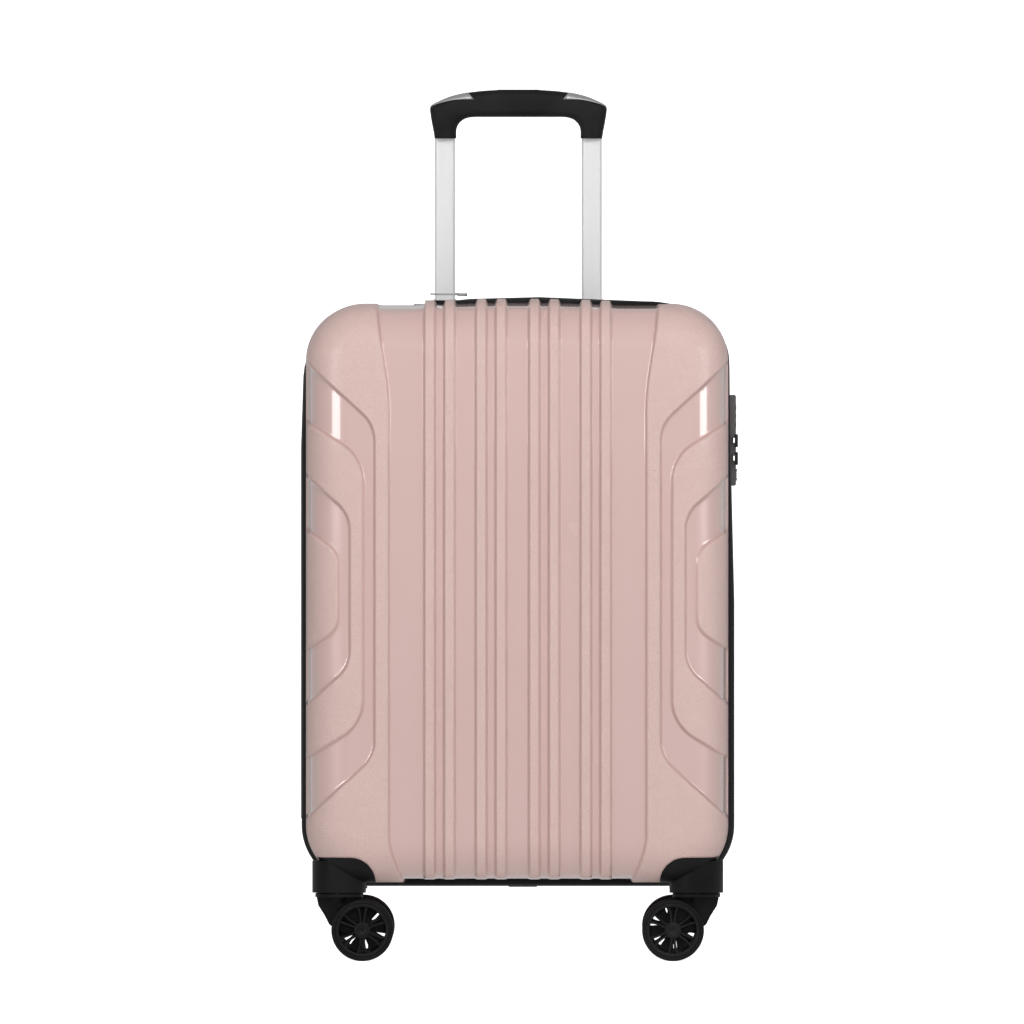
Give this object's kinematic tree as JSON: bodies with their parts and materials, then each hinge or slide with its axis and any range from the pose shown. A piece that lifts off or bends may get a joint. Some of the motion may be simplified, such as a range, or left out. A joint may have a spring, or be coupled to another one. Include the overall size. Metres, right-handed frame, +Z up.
{
  "type": "hard shell suitcase on wheels",
  "caption": "Cabin suitcase in pressed pink shells with raised ribs and chevrons, zip band, combination lock, telescopic trolley handle and swivelling twin casters.",
  "frame": {"origin": "on the floor, at the centre of the case's footprint", "axes": "+Z up; the front shell faces -Y, the trolley handle is at the back on +Y, the lock is on the +X side"},
  "size_m": [0.3676, 0.2272, 0.7295],
  "materials": {
    "shell": "pebbled raised panels, glossy recessed fields",
    "binding": "woven zip tape and binding",
    "lining": "thin polyester lining",
    "webbing": "woven webbing",
    "black_plastic": "moulded, satin",
    "grip": "soft matte",
    "button": "satin",
    "silver_plastic": "satin silver",
    "tube": "satin anodised",
    "steel": "zinc plated",
    "tyre": "polyurethane",
    "lock": "satin grey",
    "zip_metal": "plated zinc"
  },
  "bodies": {
    "rear_case": {"rear_shell": "shell", "rear_binding": "binding", "rear_lining": "lining", "pack_straps": "webbing", "strap_buckle": "black_plastic", "tape_end_cover": "binding", "rear_left_housing": "black_plastic", "rear_right_housing": "black_plastic", "rear_kingpins": "steel", "rear_housing_screws": "steel", "trolley_outer_tubes": "tube", "trolley_bezel": "black_plastic", "trolley_foot": "black_plastic", "top_handle_cup": "black_plastic", "lock_body": "lock", "hinge_strip": "binding"},
    "middle_frame": {"middle_band": "binding", "expander_gusset": "binding"},
    "front_case": {"front_shell": "shell", "front_binding": "binding", "front_lining": "lining", "mesh_pocket": "lining", "front_left_housing": "black_plastic", "front_right_housing": "black_plastic", "front_kingpins": "steel", "front_housing_screws": "steel"},
    "trolley_middle": {"trolley_mid_tubes": "tube"},
    "trolley_top": {"trolley_inner_tubes": "tube", "trolley_grip": "grip", "grip_inlays": "silver_plastic"},
    "release_button": {"grip_button": "button", "push_rods": "steel"},
    "carry_handle": {"top_handle": "black_plastic"},
    "dial_1": {"lock_dial_1": "black_plastic"},
    "dial_2": {"lock_dial_2": "black_plastic"},
    "dial_3": {"lock_dial_3": "black_plastic"},
    "lock_button": {"lock_release": "black_plastic"},
    "key_cylinder": {"lock_cylinder": "zip_metal"},
    "upper_slider": {"zip_slider_upper": "zip_metal"},
    "lower_slider": {"zip_slider_lower": "zip_metal"},
    "upper_pull": {"zip_pull_upper": "zip_metal"},
    "lower_pull": {"zip_pull_lower": "zip_metal"},
    "expander_zip_slider": {"expander_slider": "zip_metal"},
    "expander_zip_pull": {"expander_pull": "zip_metal"},
    "front_left_swivel": {"front_left_fork": "black_plastic"},
    "front_left_wheels": {"front_left_axle": "steel", "front_left_rims": "black_plastic", "front_left_tyres": "tyre"},
    "front_right_swivel": {"front_right_fork": "black_plastic"},
    "front_right_wheels": {"front_right_axle": "steel", "front_right_rims": "black_plastic", "front_right_tyres": "tyre"},
    "rear_left_swivel": {"rear_left_fork": "black_plastic"},
    "rear_left_wheels": {"rear_left_axle": "steel", "rear_left_rims": "black_plastic", "rear_left_tyres": "tyre"},
    "rear_right_swivel": {"rear_right_fork": "black_plastic"},
    "rear_right_wheels": {"rear_right_axle": "steel", "rear_right_rims": "black_plastic", "rear_right_tyres": "tyre"}
  },
  "joints": [
    {"name": "case_hinge", "type": "hinge", "parent": "rear_case", "child": "middle_frame", "pos_m": [-0.1824, 0.0025, 0.308], "axis": [0, 0, -1], "range_deg": [0, 180], "deforming": ["hinge_strip"]},
    {"name": "expander", "type": "slide", "parent": "middle_frame", "child": "front_case", "axis": [0, -1, 0], "range_m": [0, 0.03], "deforming": ["expander_gusset"]},
    {"name": "trolley_lower_stage", "type": "slide", "parent": "rear_case", "child": "trolley_middle", "axis": [0, 0, 1], "range_m": [0, 0.24]},
    {"name": "trolley_upper_stage", "type": "slide", "parent": "trolley_middle", "child": "trolley_top", "axis": [0, 0, 1], "range_m": [-0.134, 0.11]},
    {"name": "grip_button_press", "type": "slide", "parent": "trolley_top", "child": "release_button", "axis": [0, 0, -1], "range_m": [0, 0.004], "stiffness_N_per_m": 900, "springref_m": -0.003},
    {"name": "carry_handle_lift", "type": "slide", "parent": "rear_case", "child": "carry_handle", "axis": [0, 0, 1], "range_m": [0, 0.0085]},
    {"name": "lock_button_slide", "type": "slide", "parent": "rear_case", "child": "lock_button", "axis": [0, 0, -1], "range_m": [0, 0.003], "stiffness_N_per_m": 300, "springref_m": -0.003},
    {"name": "key_turn", "type": "hinge", "parent": "rear_case", "child": "key_cylinder", "pos_m": [0.178, 0.0365, 0.407], "axis": [1, 0, 0], "range_deg": [0, 90]},
    {"name": "dial_1_turn", "type": "hinge", "parent": "rear_case", "child": "dial_1", "pos_m": [0.1777, 0.031, 0.448], "axis": [0, 0, 1], "continuous": true},
    {"name": "dial_2_turn", "type": "hinge", "parent": "rear_case", "child": "dial_2", "pos_m": [0.1777, 0.031, 0.455], "axis": [0, 0, 1], "continuous": true},
    {"name": "dial_3_turn", "type": "hinge", "parent": "rear_case", "child": "dial_3", "pos_m": [0.1777, 0.031, 0.462], "axis": [0, 0, 1], "continuous": true},
    {"name": "upper_zip_run", "type": "slide", "parent": "rear_case", "child": "upper_slider", "axis": [0, 0, 1], "range_m": [0, 0.06]},
    {"name": "upper_pull_swing", "type": "hinge", "parent": "upper_slider", "child": "upper_pull", "pos_m": [0.1836, 0.0075, 0.4348], "axis": [0, 0, -1], "range_deg": [0, 105]},
    {"name": "lower_zip_run", "type": "slide", "parent": "rear_case", "child": "lower_slider", "axis": [0, 0, -1], "range_m": [0, 0.28]},
    {"name": "lower_pull_swing", "type": "hinge", "parent": "lower_slider", "child": "lower_pull", "pos_m": [0.1836, 0.0075, 0.4198], "axis": [0, 0, -1], "range_deg": [0, 105]},
    {"name": "expander_zip_run", "type": "slide", "parent": "middle_frame", "child": "expander_zip_slider", "axis": [1, 0, 0], "range_m": [-0.04, 0.16]},
    {"name": "expander_pull_swing", "type": "hinge", "parent": "expander_zip_slider", "child": "expander_zip_pull", "pos_m": [-0.0516, -0.0085, 0.5578], "axis": [0, 1, 0], "range_deg": [0, 105]},
    {"name": "front_left_swivel_turn", "type": "hinge", "parent": "front_case", "child": "front_left_swivel", "pos_m": [-0.1495, -0.075, 0.055], "axis": [0, 0, 1], "continuous": true},
    {"name": "front_left_wheel_spin", "type": "hinge", "parent": "front_left_swivel", "child": "front_left_wheels", "pos_m": [-0.13, -0.075, 0.026], "axis": [0, 1, 0], "continuous": true},
    {"name": "front_right_swivel_turn", "type": "hinge", "parent": "front_case", "child": "front_right_swivel", "pos_m": [0.1495, -0.075, 0.055], "axis": [0, 0, 1], "continuous": true},
    {"name": "front_right_wheel_spin", "type": "hinge", "parent": "front_right_swivel", "child": "front_right_wheels", "pos_m": [0.13, -0.075, 0.026], "axis": [0, 1, 0], "continuous": true},
    {"name": "rear_left_swivel_turn", "type": "hinge", "parent": "rear_case", "child": "rear_left_swivel", "pos_m": [-0.1495, 0.075, 0.055], "axis": [0, 0, 1], "continuous": true},
    {"name": "rear_left_wheel_spin", "type": "hinge", "parent": "rear_left_swivel", "child": "rear_left_wheels", "pos_m": [-0.13, 0.075, 0.026], "axis": [0, 1, 0], "continuous": true},
    {"name": "rear_right_swivel_turn", "type": "hinge", "parent": "rear_case", "child": "rear_right_swivel", "pos_m": [0.1495, 0.075, 0.055], "axis": [0, 0, 1], "continuous": true},
    {"name": "rear_right_wheel_spin", "type": "hinge", "parent": "rear_right_swivel", "child": "rear_right_wheels", "pos_m": [0.13, 0.075, 0.026], "axis": [0, 1, 0], "continuous": true}
  ]
}
